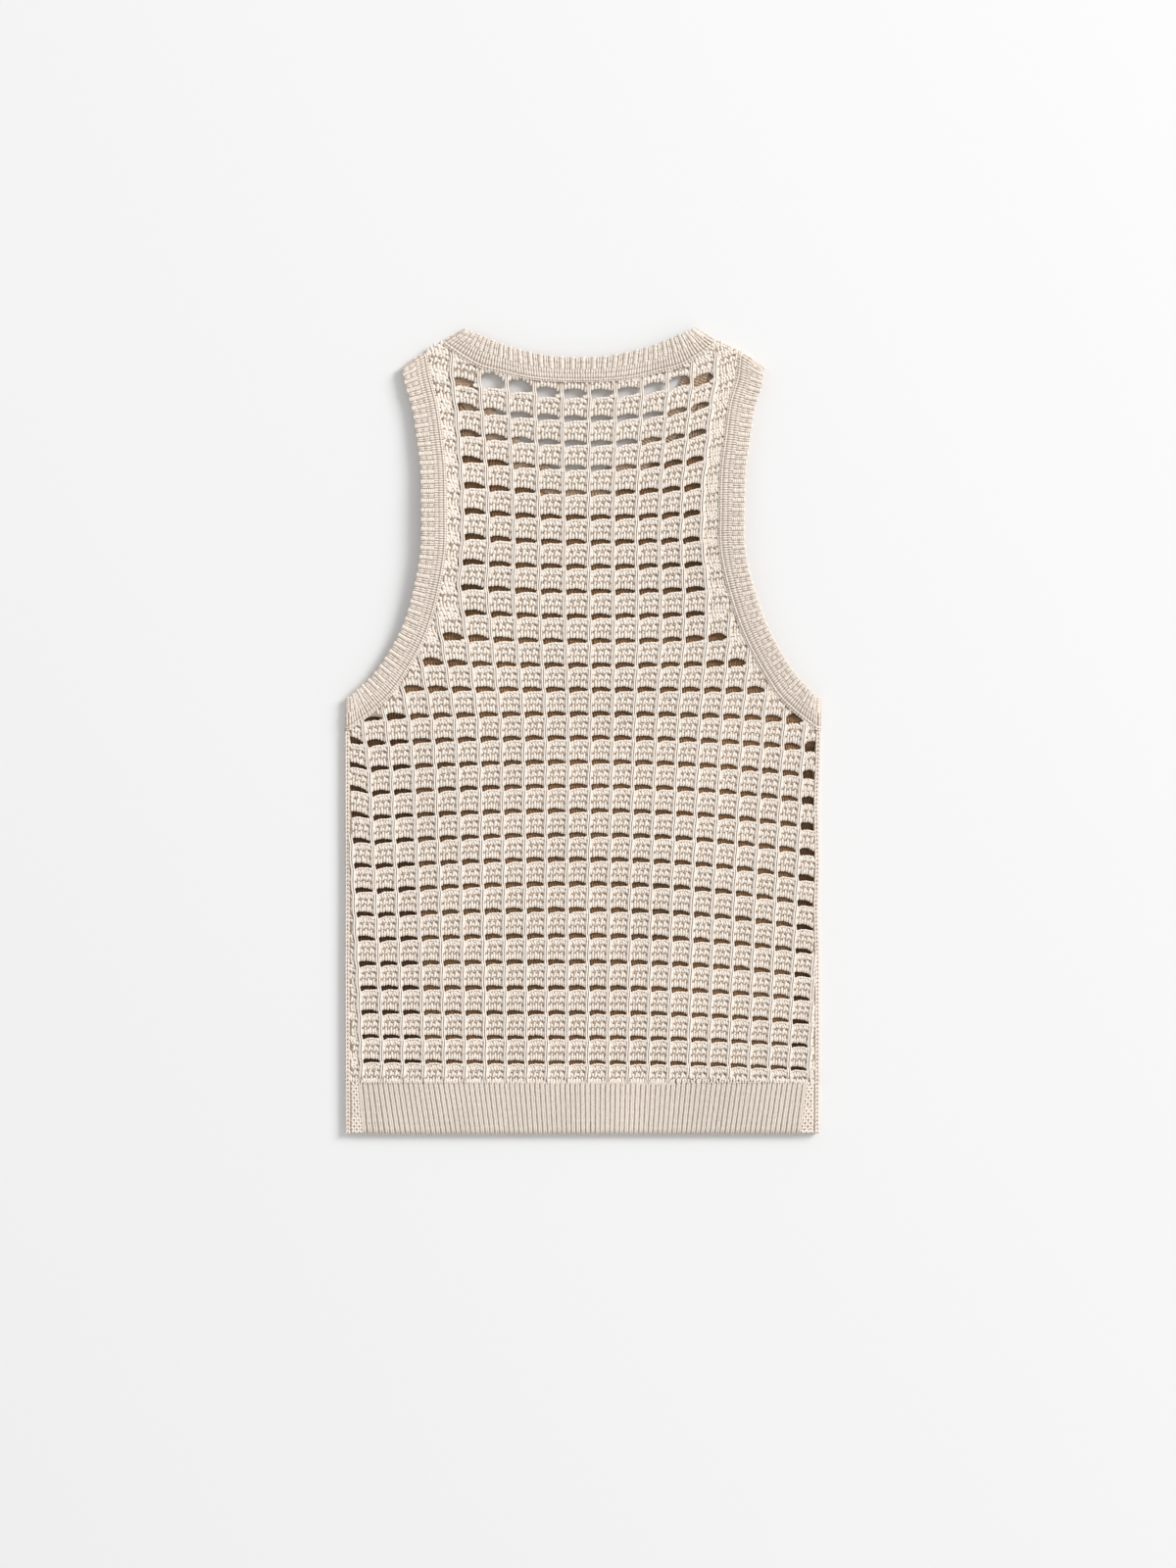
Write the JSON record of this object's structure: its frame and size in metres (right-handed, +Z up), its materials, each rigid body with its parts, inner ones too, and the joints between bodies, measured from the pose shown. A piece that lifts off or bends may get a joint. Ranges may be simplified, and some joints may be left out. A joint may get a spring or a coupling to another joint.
{
  "type": "openwork tank top",
  "caption": "Flat-laid sleeveless openwork knit top, back up, with rows of slots between knitted cords and ribbed neck, armhole and hem bands.",
  "frame": {"origin": "on the surface under the middle of the garment's length and width", "axes": "+Y from the hem to the neck, +X to the right as seen from above with the back up, +Z up from the surface"},
  "size_m": [0.34, 0.576, 0.0105],
  "materials": {
    "back_openwork": "matte cream cotton knit with slots",
    "front_openwork": "matte cream cotton knit, shaded inside",
    "neck_rib": "matte cream cotton rib",
    "arm_rib_left": "matte cream cotton rib",
    "arm_rib_right": "matte cream cotton rib",
    "back_hem": "matte cream cotton rib",
    "front_hem": "matte cream cotton rib"
  },
  "bodies": {
    "root": {"back_panel": "back_openwork", "front_panel": "front_openwork", "neckband": "neck_rib", "armband_left": "arm_rib_left", "armband_right": "arm_rib_right", "back_hem_rib": "back_hem", "front_hem_rib": "front_hem"}
  },
  "joints": []
}
